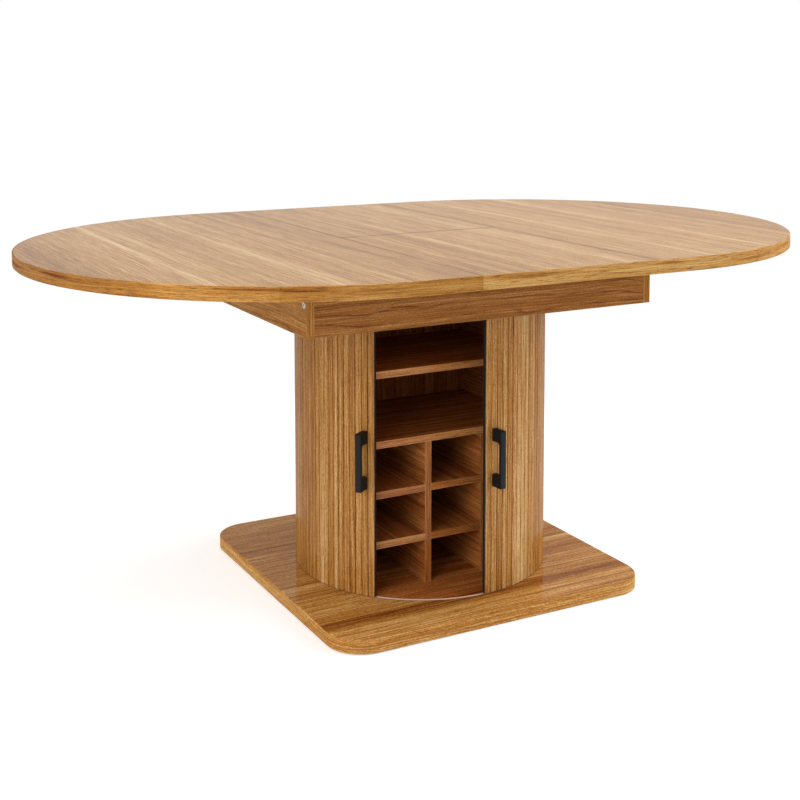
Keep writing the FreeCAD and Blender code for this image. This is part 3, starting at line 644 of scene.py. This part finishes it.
def wood(name, place, seed, shade=None, bands=0.9, fibres=1.0, figure=0.0, pores=0.5, coat=0.36,
         coat_roughness=0.12, tones=OAK, offset=0.0, board=None, attribute=None, faces=None,
         inside=None, flat_gloss=False, relief=0.25):
    """Lacquered wood.

    A board's box gives it a painted highlight along its arrises, faces give its faces and front edge their
    painted light and shade, an attribute gives each slat its own tone, and what lies inside a radius gets a
    painted reddish shade.
    """
    material, net, coordinates = new_material(name)
    spot = place(net, coordinates)
    tone = offset
    if shade:
        tone = net.plus(shade(net, spot), offset)
    if faces:
        # painted light and shade: one tone for the faces, another for the front edge
        tone = net.plus(painted_side_light(net, coordinates, *faces), tone)
    if attribute:
        own = net.add("ShaderNodeAttribute", attribute_type="GEOMETRY",
                      attribute_name=attribute).outputs["Fac"]
        tone = net.times_plus(own, SLAT_TONE_SPREAD, tone)
        shift = net.vector("MULTIPLY", net.join(own, own, own), SLAT_GRAIN_SHIFT)
        spot = net.vector("ADD", spot, shift)
    dark, middle, light = [daylight(*colour) for colour in tones]
    grain = net.use("grain", {
        "Place": spot, "Seed": seed, "Shade": tone, "Bands": bands, "Fibres": fibres, "Figure": figure,
        "Pores": pores, "Dark": dark, "Middle": middle, "Light": light,
    })
    colour = grain["Color"]
    if board:
        low, high = board
        arris_light = net.use("painted_highlight", {"Place": coordinates["Object"], "Low": low, "High": high,
                                "Width": HIGHLIGHT_WIDTH})["Mask"]
        # painted highlight along the board's arrises
        colour = net.mix_colour(net.times(arris_light, HIGHLIGHT_SHARE), colour, light)
    # painted reddish shade on the base plate inside the cabinet
    if inside:
        within = net.maths("LESS_THAN", from_axis(net, coordinates["Object"]), inside)
        colour = net.mix_colour(within, colour, daylight(*INSIDE_SHADE_TINT), blend="MULTIPLY")
    if flat_gloss:
        upright = net.maths("ABSOLUTE", net.split(coordinates["Normal"])[Z])
        coat = net.remap(upright, *GLOSS_FACING, EDGE_GLOSS, coat)
    surface(net, {
        "Base Color": colour, "Roughness": grain["Roughness"], "Specular IOR Level": 0.0,
        "Normal": bump(net, grain["Height"], relief, GRAIN_DEPTH), "Coat Weight": coat,
        "Coat Roughness": coat_roughness, "Coat IOR": LACQUER_IOR,
    })
    return material


def coated(name, base, size, spread, depth, specular, outer=None):
    """Speckled coating, rubber, film or plastic.

    Outer, as (distance from the cabinet's axis, fade, share, tone), colours what lies further out: a
    painted highlight on the handles' grips, dirt and painted shade on the tracks' outer lip.
    """
    material, net, coordinates = new_material(name)
    here = coordinates["Object"]
    skin = net.use("speckle", {"Place": here, "Size": size, "Base": daylight(*base), "Spread": spread})
    colour = skin["Color"]
    if outer:
        start, fade, share, tone = outer
        past = net.remap(from_axis(net, here), start, start + fade, 0.0, share, smooth=True)
        colour = net.mix_colour(past, colour, daylight(*tone))
    surface(net, {
        "Base Color": colour, "Roughness": skin["Roughness"], "Specular IOR Level": specular,
        "Normal": bump(net, skin["Height"], COATING_BUMP, depth),
    })
    return material


def metal(name, base, marks, roughness, sockets=None):
    """Bare metal with fine marks, in cycles per metre. Sockets, as (y, z, radius), are darker inside with
    grime and painted shade.
    """
    material, net, coordinates = new_material(name)
    here = coordinates["Object"]
    fine = net.noise(here, marks, detail=4.0, roughness=0.6)
    dull = daylight(*[DULL_TONE * tone for tone in base])
    dull_share = net.remap(net.cloud(here, "metal"), *CLOUD_LEVELS, 0.0, DULL_SHARE)
    colour = net.mix_colour(dull_share, daylight(*base), dull)
    if sockets:
        # grime and painted shade inside the socket
        middle_y, middle_z, radius = sockets
        y, z = net.split(here)[1:]
        off = net.join(net.minus(net.maths("ABSOLUTE", y), middle_y), net.minus(z, middle_z), 0.0)
        grime_and_shade = net.remap(net.length(off), (1 - SOCKET_DARK_EDGE) * radius, (1 + SOCKET_DARK_EDGE) * radius,
                          SOCKET_DARK_SHARE, 0.0)
        colour = net.mix_colour(grime_and_shade, colour, daylight(*SOCKET_GRIME_AND_SHADE))
    surface(net, {
        "Base Color": colour, "Roughness": net.remap(fine, *NOISE_SPAN, *roughness), "Metallic": 1.0,
        "Normal": bump(net, fine, METAL_BUMP, METAL_DEPTH),
    })
    return material


tabletop = wood("oak_top", board_place(Y, X, Z), seed=0.0, shade=top_shade, bands=0.31, fibres=1.4,
                figure=0.1, coat=0.43, tones=TOP_OAK, offset=0.04)
rim = wood("oak_rim", rim_place, seed=3.1, shade=rim_shade, bands=0.35, fibres=0.75, figure=0.4, pores=0.9,
           coat=0.2, coat_roughness=0.3, tones=RIM_OAK, offset=-0.08, relief=0.06)
base = wood("oak_base", base_place, seed=5.3, shade=base_shade, bands=0.65, fibres=1.5, figure=0.4,
            coat=0.3, coat_roughness=0.06, tones=BASE_OAK, offset=-0.02, inside=DOOR_RADIUS,
            flat_gloss=True)
slats = wood("oak_slats", round_place, seed=7.7, shade=slat_shade, bands=0.6, fibres=1.1, pores=0.65,
             coat=0.25, tones=SLAT_OAK, offset=-0.03, attribute="slat_tone")
shell = wood("oak_shell", round_place, seed=9.2, bands=0.8, coat=0.25)
bare_beech = {"bands": 0.5, "coat": 0.12, "coat_roughness": 0.4, "tones": BEECH}
beech_along_x = wood("beech_along_x", board_place(X, Y, Z), seed=2.2, **bare_beech)
beech_upright = wood("beech_upright", board_place(Z, X, Y), seed=4.4, **bare_beech)

# the front of the handle's grip is painted lighter: a painted highlight
black_coat = coated("black_coat", (14, 14, 15), size=0.5 * MM, spread=0.5, depth=0.06 * MM, specular=0.2,
                    outer=(DOOR_RADIUS + 27.0 * MM, 4.0 * MM, 0.35, (34, 35, 36)))
black_rubber = coated("black_rubber", (30, 29, 28), size=0.8 * MM, spread=0.5, depth=0.05 * MM,
                      specular=0.3)
film = coated("backing_film", (72, 62, 54), size=1.2 * MM, spread=0.4, depth=0.08 * MM, specular=0.25)
# the track's outer lip is darker: dirt and painted contact shadow of the doors
cream_plastic = coated("cream_plastic", (224, 188, 166), size=0.9 * MM, spread=0.25, depth=0.03 * MM,
                       specular=0.3, outer=(DOOR_RADIUS - 2.0 * MM, 0.5 * MM, 0.92, (70, 44, 28)))
nylon = coated("glide_nylon", (58, 56, 54), size=0.9 * MM, spread=0.4, depth=0.06 * MM, specular=0.4)

plated = {"base": (205, 204, 200), "marks": (900.0, 900.0, 900.0), "roughness": (0.22, 0.42)}
zinc = metal("zinc_plate", **plated)
bolt_y, bolt_z = [edge - BOLT["Head Radius"] for edge in (bolt_high.y, bolt_high.z)]
bolt_zinc = metal("bolt_zinc", **plated, sockets=(bolt_y, bolt_z, BOLT["Socket Radius"]))
steel = metal("channel_steel", (168, 169, 171), marks=(12.0, 900.0, 900.0), roughness=(0.3, 0.5))


# Which finish each node of the frame gets
FINISHES = {
    "base_plate": base, "rear_shell": shell, "shell_ribs": beech_upright, "corner_blocks": beech_upright,
    "shelf_dowels": beech_along_x, "base_glides": nylon, "bottom_track": cream_plastic,
    "top_track": cream_plastic, "front_channel": steel, "rear_channel": steel, "shelf_pins": zinc,
    "barrel_nuts": zinc, "front_leaf": tabletop, "rear_leaf": tabletop,
}
PAIRED_FINISHES = (
    (SIDES, {"top": tabletop, "top_edge": rim, "runners": beech_along_x, "door_backing": film,
             "door_seal": black_rubber}),
    (("front_leaf", "rear_leaf"), {"edge": rim, "cleat": beech_along_x}),
)
for owners, parts in PAIRED_FINISHES:
    for owner in owners:
        for part, material in parts.items():
            FINISHES["%s_%s" % (owner, part)] = material

# Boards that are alike: nodes, axes along, across and into the grain, first seed and settings
rail_wood = dict(shade=streaked(APRON_STREAKS, *STREAK_SCALES["apron"]), bands=0.68, fibres=1.2, figure=0.9,
                 coat=0.15, tones=APRON_OAK, offset=0.03)
# faces, as (faces, front edge), give painted light and shade to the sides of a board
end_wood = dict(bands=0.65, figure=0.7, coat=0.15, faces=(0.0, -0.06))
inner_wood = dict(figure=0.3, tones=INSIDE_SHADED_OAK)
wine_shelves = [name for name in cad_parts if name.startswith("wine_shelf")]
BOARDS = (
    (("front_rail", "rear_rail"), (X, Z, Y), 11.0, rail_wood),
    (("left_apron_end", "right_apron_end"), (Y, Z, X), 14.0, end_wood),
    (("cabinet_top",), (X, Y, Z), 17.0, {}),
    (("carcass_left_side", "carcass_right_side", "wine_divider_1", "wine_divider_2"), (Y, Z, X), 20.0,
     dict(bands=1.1, faces=(-0.05, 0.1), **inner_wood)),
    (("carcass_back",), (Z, X, Y), 25.0, dict(tones=INSIDE_SHADED_OAK)),
    (("main_shelf", "upper_shelf"), (X, Y, Z), 27.0, dict(bands=1.0, faces=(-0.05, 0.14), **inner_wood)),
    (wine_shelves, (Y, X, Z), 30.0, dict(bands=1.1, faces=(-0.02, 0.08), **inner_wood)),
)
for nodes, axes, first_seed, settings in BOARDS:
    for count, node in enumerate(nodes):
        FINISHES[node] = wood("oak_" + node, board_place(*axes), first_seed + count, board=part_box(node),
                              **settings)

for name, material in FINISHES.items():
    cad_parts[name].material_slots[0].material = material


# Pieces that stand for nodes of the frame
def put_in_scene(name, data):
    item = bpy.data.objects.new(name, data)
    bpy.context.scene.collection.objects.link(item)
    return item


def plain_mesh(carrier):
    """Mesh of an object as its modifiers shape it. The object itself is removed."""
    seen = carrier.evaluated_get(bpy.context.evaluated_depsgraph_get())
    mesh = bpy.data.meshes.new_from_object(seen)
    carrier.modifiers.clear()
    bpy.data.objects.remove(carrier)
    return mesh


def grown_mesh(name, tree, values, seeds=None):
    """Runs a tree on an object and gives its result as a plain mesh."""
    carrier = put_in_scene(name + "_carrier", seeds or bpy.data.meshes.new(name + "_carrier"))
    modifier = carrier.modifiers.new("grow", "NODES")
    modifier.node_group = tree
    for socket in tree.interface.items_tree:
        if socket.in_out == "INPUT" and socket.name in values:
            modifier[socket.identifier] = values[socket.name]
    return plain_mesh(carrier)


def keep_piece(name, mesh, material, body, node):
    """Puts a finished mesh in the scene as the piece that stands for a node."""
    mesh.materials.clear()
    mesh.materials.append(material)
    mesh.shade_smooth()
    mesh.set_sharp_from_angle(angle=SHARP_EDGE)
    piece = put_in_scene(name, mesh)
    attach(piece, body)
    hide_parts(node)


# Steps that the trees share
def moved(net, shape, x, y, z):
    return net.out("GeometryNodeTransform", {"Geometry": shape, "Translation": net.join(x, y, z)})


def joined(net, *shapes):
    group = net.add("GeometryNodeJoinGeometry")
    for shape in shapes:
        net.put(group.inputs[0], shape)
    return group.outputs[0]


def fused(net, *shapes):
    union = net.add("GeometryNodeMeshBoolean", operation="UNION", solver="EXACT")
    for shape in shapes:
        net.put(union.inputs[1], shape)
    return union.outputs[0]


def hollowed(net, shape, cutter):
    difference = net.add("GeometryNodeMeshBoolean", operation="DIFFERENCE", solver="EXACT")
    net.put(difference.inputs[0], shape)
    net.put(difference.inputs[1], cutter)
    return difference.outputs[0]


def finished(net, instances, finish):
    """Makes instances real and gives them their finish."""
    real = net.out("GeometryNodeRealizeInstances", {0: instances})
    return net.out("GeometryNodeSetMaterial", {"Geometry": real, "Material": finish})


# Slats of the doors
def build_slat_row():
    """Slats round an arc, each with a tongue at both ends and a tone of its own."""
    net, given, result = new_tree(
        "GeometryNodeTree", "slat_row",
        {"value": ("Start", "Pitch", *SLAT), "whole": ("Count", "Seed"), "finish": ("Finish",)},
        {"geometry": ("Geometry",)})
    middle = net.times(given["Thickness"], 0.5)
    section = net.out("GeometryNodeCurvePrimitiveQuadrilateral",
                      {"Width": given["Width"], "Height": given["Thickness"]})
    depth = net.split(net.out("GeometryNodeInputPosition"))[Y]
    outside = net.maths("LESS_THAN", depth, 0.0)
    more = net.minus(given["Arris"], given["Back Arris"])
    rounding = net.times_plus(outside, more, given["Back Arris"])
    section = net.out("GeometryNodeFilletCurve",
                      {"Curve": section, "Count": SLAT_ROUND_STEPS, "Radius": rounding}, mode="POLY")
    section = moved(net, section, 0.0, middle, 0.0)
    path = net.out("GeometryNodeCurvePrimitiveLine", {
        "Start": net.join(0.0, 0.0, given["Bottom"]), "End": net.join(0.0, 0.0, given["Top"]),
    })
    body = net.out("GeometryNodeCurveToMesh", {"Curve": path, "Profile Curve": section, "Fill Caps": True})
    tall = net.minus(given["Tongue Top"], given["Tongue Bottom"])
    tongue = net.out("GeometryNodeMeshCube",
                     {"Size": net.join(given["Width"], given["Tongue Thickness"], tall)})
    level = net.times(net.plus(given["Tongue Top"], given["Tongue Bottom"]), 0.5)
    slat = joined(net, moved(net, tongue, 0.0, middle, level), body)

    index = net.out("GeometryNodeInputIndex")
    angle = net.times_plus(index, given["Pitch"], given["Start"])
    to_front = net.times(given["Radius"], -1.0)
    spot = net.join(net.times(net.maths("SINE", angle), given["Radius"]),
                    net.times(net.maths("COSINE", angle), to_front), 0.0)
    points = net.out("GeometryNodePoints", {"Count": given["Count"], "Position": spot})
    turn = net.out("FunctionNodeEulerToRotation", {0: net.join(0.0, 0.0, angle)})
    row = net.out("GeometryNodeInstanceOnPoints", {"Points": points, "Instance": slat, "Rotation": turn})
    tone = net.add("FunctionNodeRandomValue", {2: -1.0, 3: 1.0, 7: index, 8: given["Seed"]},
                   data_type="FLOAT").outputs[1]
    row = net.out("GeometryNodeStoreNamedAttribute",
                  {"Geometry": row, "Name": "slat_tone", "Value": tone},
                  data_type="FLOAT", domain="INSTANCE")
    net.put(result["Geometry"], finished(net, row, given["Finish"]))
    return net.tree


def slat_angle(name, number):
    """Where the middle of a door's slat lies, counted from the leading slat as number 0."""
    return DOOR_TURN[name] + SIDES[name] * (DOOR_LEAD / DOOR_RADIUS + (number + 0.5) * SLAT_PITCH)


def make_slats():
    tree = build_slat_row()
    for count, (name, side) in enumerate(SIDES.items()):
        mesh = grown_mesh("%s_slats" % name, tree, {
            **SLAT, "Start": slat_angle(name, 0), "Pitch": side * SLAT_PITCH, "Count": SLAT_COUNT,
            "Seed": SLAT_SEED + count, "Finish": slats,
        })
        keep_piece("%s_slats" % name, mesh, slats, "%s_door" % name, "%s_door_slats" % name)


# Handles
def arc_points(centre, radius, start, end):
    points = []
    for n in range(HANDLE_ROUND_STEPS + 1):
        angle = start + (end - start) * n / HANDLE_ROUND_STEPS
        points.append((centre[0] + radius * math.cos(angle), centre[1] + radius * math.sin(angle)))
    return points


def handle_outline():
    """Side view of a handle as (distance from the door, height from its middle)."""
    half = HANDLE_HEIGHT / 2
    gap = half - HANDLE_FOOT
    depth = HANDLE_REACH - HANDLE_GRIP
    outer, inner = HANDLE_OUTER_ROUND, HANDLE_INNER_ROUND
    quarter = math.pi / 2
    upper = arc_points((HANDLE_REACH - outer, half - outer), outer, 0.0, quarter)
    lower = arc_points((HANDLE_REACH - outer, outer - half), outer, -quarter, 0.0)
    inside_upper = arc_points((depth - inner, gap - inner), inner, quarter, 0.0)
    inside_lower = arc_points((depth - inner, inner - gap), inner, 0.0, -quarter)
    return [(0.0, -half), *lower, *upper, (0.0, half),
            (0.0, gap), *inside_upper, *inside_lower, (0.0, -gap)]


def make_handles():
    for name in SIDES:
        angle = slat_angle(name, HANDLE_SLAT)
        out = Vector((math.sin(angle), -math.cos(angle), 0.0))
        along = Vector((math.cos(angle), math.sin(angle), 0.0))
        shape = bmesh.new()
        ring = []
        for reach, up in handle_outline():
            corner = out * (DOOR_RADIUS + reach) + along * (-HANDLE_WIDTH / 2)
            ring.append(shape.verts.new(corner + Vector((0.0, 0.0, HANDLE_Z + up))))
        grown = bmesh.ops.extrude_face_region(shape, geom=[shape.faces.new(ring)])
        far_side = [item for item in grown["geom"] if isinstance(item, bmesh.types.BMVert)]
        bmesh.ops.translate(shape, verts=far_side, vec=along * HANDLE_WIDTH)
        bmesh.ops.recalc_face_normals(shape, faces=shape.faces)
        rough = bpy.data.meshes.new("%s_handle" % name)
        shape.to_mesh(rough)
        shape.free()
        carrier = put_in_scene("%s_handle_carrier" % name, rough)
        ease = carrier.modifiers.new("ease", "BEVEL")
        ease.width = HANDLE_ARRIS
        ease.segments = HANDLE_ARRIS_STEPS
        ease.limit_method = "ANGLE"
        ease.angle_limit = HANDLE_CORNER
        keep_piece("%s_handle" % name, plain_mesh(carrier), black_coat, "%s_door" % name,
                   "%s_door_handle" % name)


# Screws and bolts
def solids_of(node):
    """Corners of each separate solid in a node."""
    shape = bmesh.new()
    shape.from_mesh(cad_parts[node].data)
    bmesh.ops.remove_doubles(shape, verts=shape.verts, dist=MERGE_DISTANCE)
    left = set(shape.verts)
    groups = []
    while left:
        stack = [left.pop()]
        group = []
        while stack:
            vert = stack.pop()
            group.append(vert.co.copy())
            for edge in vert.link_edges:
                other = edge.other_vert(vert)
                if other in left:
                    left.remove(other)
                    stack.append(other)
        groups.append(group)
    shape.free()
    return groups


def head_and_axis(points):
    """Where a fastener's head starts, the way it points and how long it is."""
    cloud = np.array(points)
    middle = cloud.mean(axis=0)
    axis = np.linalg.svd(cloud - middle, full_matrices=False)[2][0]
    runs = (cloud - middle) @ axis
    widths = np.linalg.norm(cloud - middle - np.outer(runs, axis), axis=1)
    near_end = widths[runs < runs.min() + HEAD_SLICE].max()
    far_end = widths[runs > runs.max() - HEAD_SLICE].max()
    if near_end < far_end:
        axis = -axis
        runs = -runs
    return middle + axis * runs.min(), axis, runs.max() - runs.min()


def fastener_seeds(node):
    """Mesh with one point for each fastener of a node, carrying its way and length."""
    rows = [head_and_axis(points) for points in solids_of(node)]
    mesh = bpy.data.meshes.new(node + "_seeds")
    mesh.from_pydata([head for head, way, reach in rows], [], [])
    mesh.attributes.new("way", "FLOAT_VECTOR", "POINT")
    mesh.attributes.new("reach", "FLOAT", "POINT")
    for n, (head, way, reach) in enumerate(rows):
        mesh.attributes["way"].data[n].vector = way
        mesh.attributes["reach"].data[n].value = reach
    return mesh


def place_fasteners(net, seeds, head, shank, finish):
    """Head and shank on every seed, the shank drawn out to the seed's length."""
    way = net.out("GeometryNodeInputNamedAttribute", {"Name": "way"}, data_type="FLOAT_VECTOR")
    reach = net.out("GeometryNodeInputNamedAttribute", {"Name": "reach"}, data_type="FLOAT")
    turn = net.out("FunctionNodeAlignRotationToVector", {"Vector": way}, axis="Z")
    rows = []
    for shape, size in ((head, (1.0, 1.0, 1.0)), (shank, net.join(1.0, 1.0, reach))):
        rows.append(net.out("GeometryNodeInstanceOnPoints", {
            "Points": seeds, "Instance": shape, "Rotation": turn, "Scale": size,
        }))
    return finished(net, joined(net, *rows), finish)


def unit_shank(net, radius):
    """Round shank of length 1 that starts at the seed."""
    rod = net.out("GeometryNodeMeshCylinder", {"Vertices": SHANK_SIDES, "Radius": radius, "Depth": 1.0})
    return moved(net, rod, 0.0, 0.0, 0.5)


def build_cross_screws():
    """Countersunk screws with a cross recess, heads at their seeds."""
    net, given, result = new_tree(
        "GeometryNodeTree", "cross_screws",
        {"geometry": ("Seeds",), "value": SCREW, "finish": ("Finish",)}, {"geometry": ("Geometry",)})
    cone = net.out("GeometryNodeMeshCone", {
        "Vertices": SCREW_SIDES, "Radius Top": given["Shank Radius"], "Radius Bottom": given["Head Radius"],
        "Depth": given["Head Height"],
    })
    deep = net.times(given["Cross Depth"], 2.0)
    bars = []
    for size in (net.join(given["Cross"], given["Cross Width"], deep),
                 net.join(given["Cross Width"], given["Cross"], deep)):
        bars.append(net.out("GeometryNodeMeshCube", {"Size": size}))
    head = hollowed(net, cone, fused(net, *bars))
    shank = unit_shank(net, given["Shank Radius"])
    net.put(result["Geometry"], place_fasteners(net, given["Seeds"], head, shank, given["Finish"]))
    return net.tree


def build_socket_bolts():
    """Flat bolt heads with an eased rim and a hexagon socket, their outer faces at the seeds."""
    net, given, result = new_tree(
        "GeometryNodeTree", "socket_bolts",
        {"geometry": ("Seeds",), "value": BOLT, "finish": ("Finish",)}, {"geometry": ("Geometry",)})
    crown = net.out("GeometryNodeMeshCone", {
        "Vertices": BOLT_SIDES, "Radius Top": given["Head Radius"], "Depth": given["Ease"],
        "Radius Bottom": net.minus(given["Head Radius"], given["Ease"]),
    })
    straight = net.minus(given["Head Height"], given["Ease"])
    disc = net.out("GeometryNodeMeshCylinder", {
        "Vertices": BOLT_SIDES, "Radius": given["Head Radius"], "Depth": straight,
    })
    disc = moved(net, disc, 0.0, 0.0, net.times_plus(straight, 0.5, given["Ease"]))
    socket = net.out("GeometryNodeMeshCylinder", {
        "Vertices": SOCKET_SIDES, "Radius": given["Socket Radius"],
        "Depth": net.times(given["Socket Depth"], 2.0),
    })
    head = hollowed(net, fused(net, crown, disc), socket)
    shank = moved(net, unit_shank(net, given["Shank Radius"]), 0.0, 0.0, given["Head Height"])
    net.put(result["Geometry"], place_fasteners(net, given["Seeds"], head, shank, given["Finish"]))
    return net.tree


def make_fasteners():
    tree = build_cross_screws()
    screws = {"carcass_screws": "frame", "channel_screws": "frame"}
    for name in SIDES:
        screws["%s_runner_screws" % name] = "%s_half" % name
        screws["%s_handle_screws" % name] = "%s_door" % name
    for node, body in screws.items():
        mesh = grown_mesh(node, tree, {**SCREW, "Finish": zinc}, fastener_seeds(node))
        keep_piece("%s_shown" % node, mesh, zinc, body, node)
    mesh = grown_mesh("apron_bolts", build_socket_bolts(), {**BOLT, "Finish": bolt_zinc},
                      fastener_seeds("apron_bolts"))
    keep_piece("apron_bolts_shown", mesh, bolt_zinc, "frame", "apron_bolts")


make_slats()
make_handles()
make_fasteners()


# Studio
def seen_directly(net):
    """1 for what the camera, a reflection or glass sees, 0 for light on the object."""
    path = net.add("ShaderNodeLightPath").outputs
    some = net.plus(path["Is Camera Ray"], path["Is Glossy Ray"])
    return net.maths("ADD", some, path["Is Transmission Ray"], clamp=True)


def make_floor():
    """Floor that takes the shadow and turns white further out, where the camera sees it."""
    half = FLOOR_SIZE / 2
    corners = [(-half, -half, 0.0), (half, -half, 0.0), (half, half, 0.0), (-half, half, 0.0)]
    mesh = bpy.data.meshes.new("floor")
    mesh.from_pydata(corners, [], [(0, 1, 2, 3)])
    material, net, coordinates = new_material("pale_floor")
    seen = seen_directly(net)
    matt = net.out("ShaderNodeBsdfDiffuse", {"Color": (FLOOR_ALBEDO, FLOOR_ALBEDO, FLOOR_ALBEDO, 1.0)})
    glow = net.out("ShaderNodeEmission", {"Strength": net.times(seen, FLOOR_LIFT)})
    lit = net.out("ShaderNodeAddShader", {0: matt, 1: glow})
    white = net.out("ShaderNodeEmission", {"Strength": 1.0})
    away = net.length(coordinates["Object"])
    fade = net.times(seen, net.remap(away, *FLOOR_FADE, 0.0, 1.0, smooth=True))
    either = net.out("ShaderNodeMixShader", {0: fade, 1: lit, 2: white})
    net.add("ShaderNodeOutputMaterial", {"Surface": either})
    mesh.materials.append(material)
    floor = put_in_scene("floor", mesh)


def make_surroundings():
    """Even light on the object, and plain white where the camera or a reflection sees past it."""
    world = bpy.data.worlds.new("studio")
    bpy.context.scene.world = world
    world.use_nodes = True
    world.node_tree.nodes.clear()
    net = Net(world.node_tree)
    light = net.out("ShaderNodeBackground", {"Color": (1.0, 1.0, 1.0, 1.0), "Strength": SKY_LEVEL})
    white = net.out("ShaderNodeBackground", {"Color": (1.0, 1.0, 1.0, 1.0), "Strength": 1.0})
    either = net.out("ShaderNodeMixShader", {0: seen_directly(net), 1: light, 2: white})
    net.add("ShaderNodeOutputWorld", {"Surface": either})


def make_lamp(name, place, size, watts):
    """Round soft lamp. No gloss mirrors it, because that whitens the top seen from the far side."""
    lamp = bpy.data.lights.new(name, "AREA")
    lamp.shape = "DISK"
    lamp.size = size
    lamp.energy = watts
    holder = put_in_scene(name, lamp)
    holder.location = place
    aim = Vector(LAMP_AIM) - Vector(place)
    holder.rotation_euler = aim.to_track_quat("-Z", "Y").to_euler()
    holder.visible_glossy = False


def make_camera():
    camera = bpy.data.cameras.new("camera")
    camera.lens = CAMERA_LENS
    camera.shift_x, camera.shift_y = CAMERA_SHIFT
    holder = put_in_scene("camera", camera)
    holder.location = CAMERA_PLACE
    holder.rotation_euler = (CAMERA_TILT, 0.0, CAMERA_TURN)
    bpy.context.scene.camera = holder


make_floor()
make_surroundings()
for name, (place, size, watts) in LAMPS.items():
    make_lamp(name, place, size, watts)
make_camera()
bpy.context.scene.view_settings.view_transform = "Standard"
